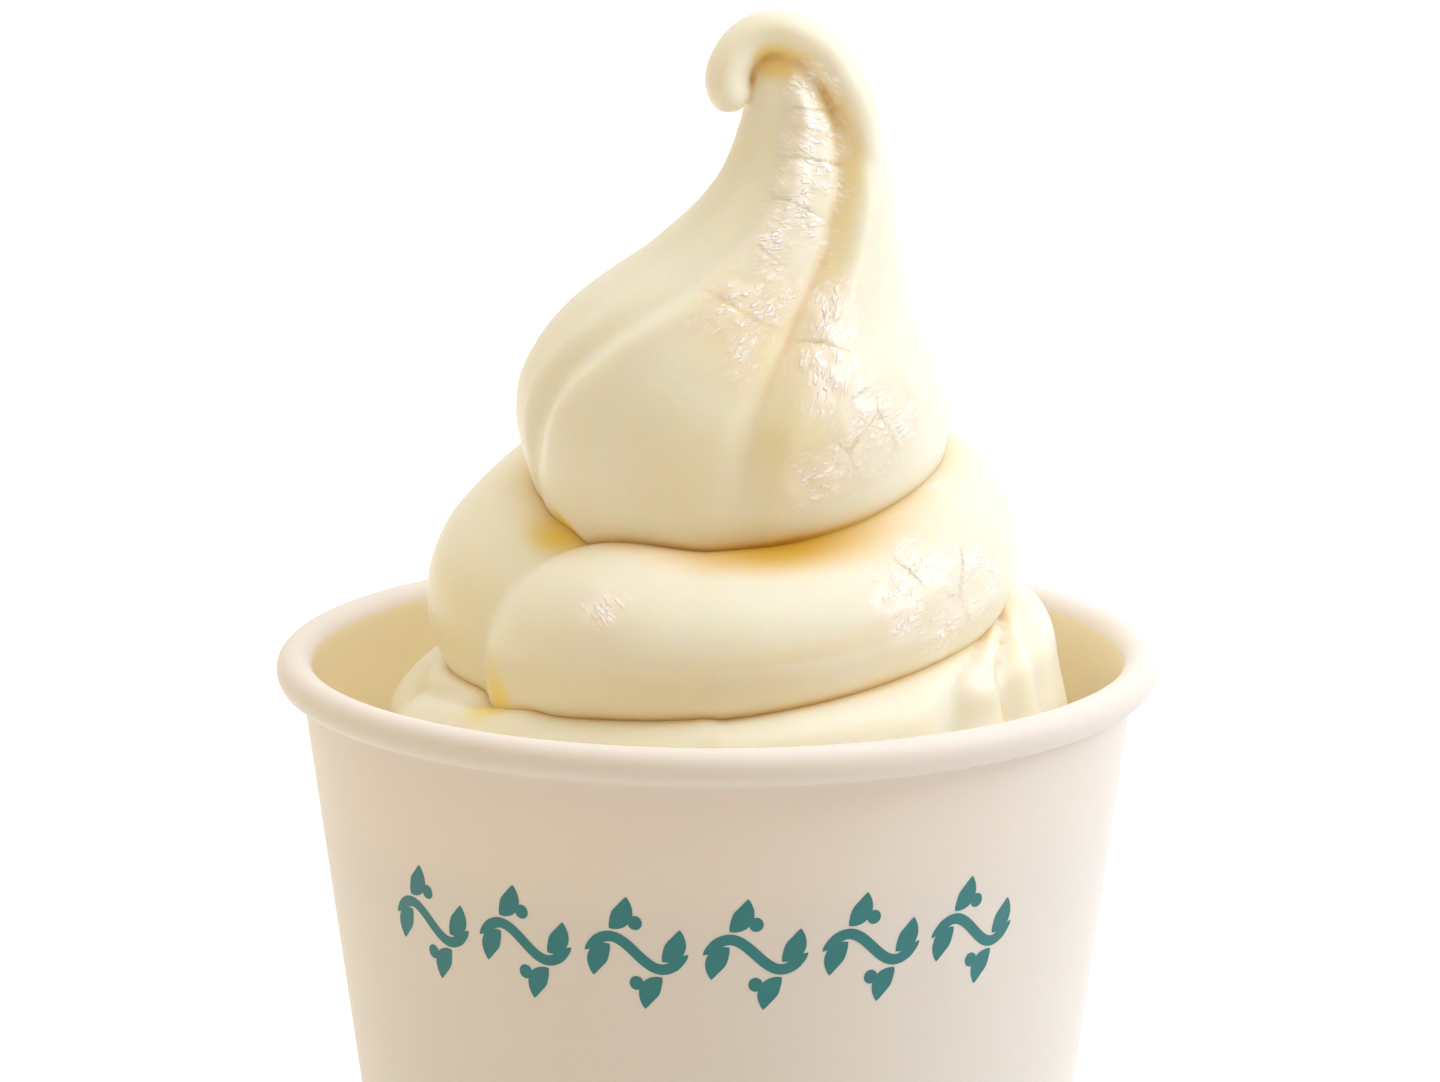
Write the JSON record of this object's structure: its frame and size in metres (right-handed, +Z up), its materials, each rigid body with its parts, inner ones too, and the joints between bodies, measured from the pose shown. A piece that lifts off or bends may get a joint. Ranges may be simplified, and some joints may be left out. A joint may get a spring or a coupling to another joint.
{
  "type": "cup of vanilla soft-serve ice cream",
  "caption": "Tall swirl of vanilla soft-serve ice cream with a curled tip, piped into a plain tapered paper cup with a rolled rim.",
  "frame": {"origin": "on the table, at the centre of the cup's foot", "axes": "+Z up through the cup; -Y is the front, from which the curled tip leans to the left; +X to the right"},
  "size_m": [0.096, 0.096, 0.1293],
  "materials": {
    "cup_paper": "coated off-white paperboard, satin",
    "vanilla_ice_cream": "smooth creamy ice cream with a soft wet gloss and a few frosty patches"
  },
  "bodies": {
    "root": {"cup_wall": "cup_paper", "cup_base": "cup_paper", "ice_cream": "vanilla_ice_cream"}
  },
  "joints": []
}
